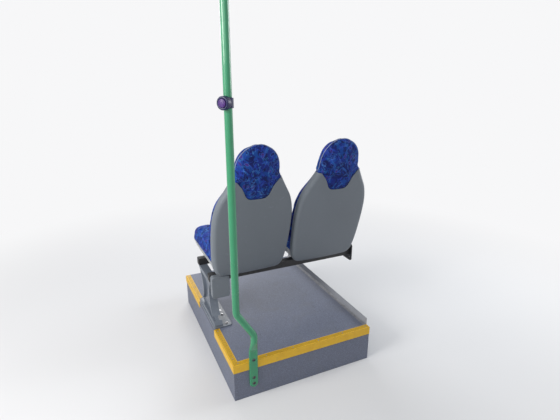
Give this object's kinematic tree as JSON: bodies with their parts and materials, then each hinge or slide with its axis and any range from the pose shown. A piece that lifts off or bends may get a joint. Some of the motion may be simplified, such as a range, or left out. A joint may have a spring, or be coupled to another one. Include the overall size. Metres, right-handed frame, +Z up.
{
  "type": "twin passenger seat on a city bus floor podium",
  "caption": "Fixed twin bus passenger seat with moulded shells and patterned covers on a raised floor podium, with a full-height grab pole and stop button.",
  "frame": {"origin": "centre of the podium's underside, on the bus floor", "axes": "+X to the side wall (bus right), +Y to the front of the bus, the way the seats face, +Z up along the pole"},
  "size_m": [0.9393, 1.117, 2.25],
  "materials": {
    "frame_steel": "matt",
    "black_steel": "satin",
    "grey_steel": "satin",
    "zinc": "satin",
    "plywood": "matt",
    "floor_vinyl": "speckled, matt",
    "coving": "satin",
    "nosing_yellow": "satin",
    "shell_plastic": "fine-grained",
    "pan_plastic": "fine-grained",
    "moquette": "woven pile with a squiggle pattern",
    "green_enamel": "glossy",
    "button_housing": "glossy",
    "button_cap": "glossy"
  },
  "bodies": {
    "root": {"aisle_leg": "grey_steel", "back_brackets_aisle": "black_steel", "back_brackets_wall": "black_steel", "back_pad_aisle": "moquette", "back_pad_wall": "moquette", "back_shell_aisle": "shell_plastic", "back_shell_wall": "shell_plastic", "button_cap": "button_cap", "button_clamp": "button_housing", "button_housing": "button_housing", "carrier_aisle": "black_steel", "carrier_wall": "black_steel", "ceiling_flange": "green_enamel", "coving_strip": "coving", "grab_pole": "green_enamel", "leg_cover": "shell_plastic", "leg_foot_bolts": "zinc", "leg_foot_plate": "grey_steel", "nosing_aisle_front": "nosing_yellow", "nosing_aisle_rear": "nosing_yellow", "nosing_rear": "nosing_yellow", "podium_bearers": "frame_steel", "podium_covering": "floor_vinyl", "podium_deck": "plywood", "podium_posts": "frame_steel", "podium_rails": "frame_steel", "pole_foot": "green_enamel", "pole_foot_screws": "zinc", "riser_aisle": "floor_vinyl", "riser_front": "floor_vinyl", "riser_rear": "floor_vinyl", "riser_wall": "floor_vinyl", "seat_beam_front": "black_steel", "seat_beam_rear": "black_steel", "seat_cushion_aisle": "moquette", "seat_cushion_wall": "moquette", "seat_pan_aisle": "pan_plastic", "seat_pan_wall": "pan_plastic", "wall_plate": "black_steel"}
  },
  "joints": []
}
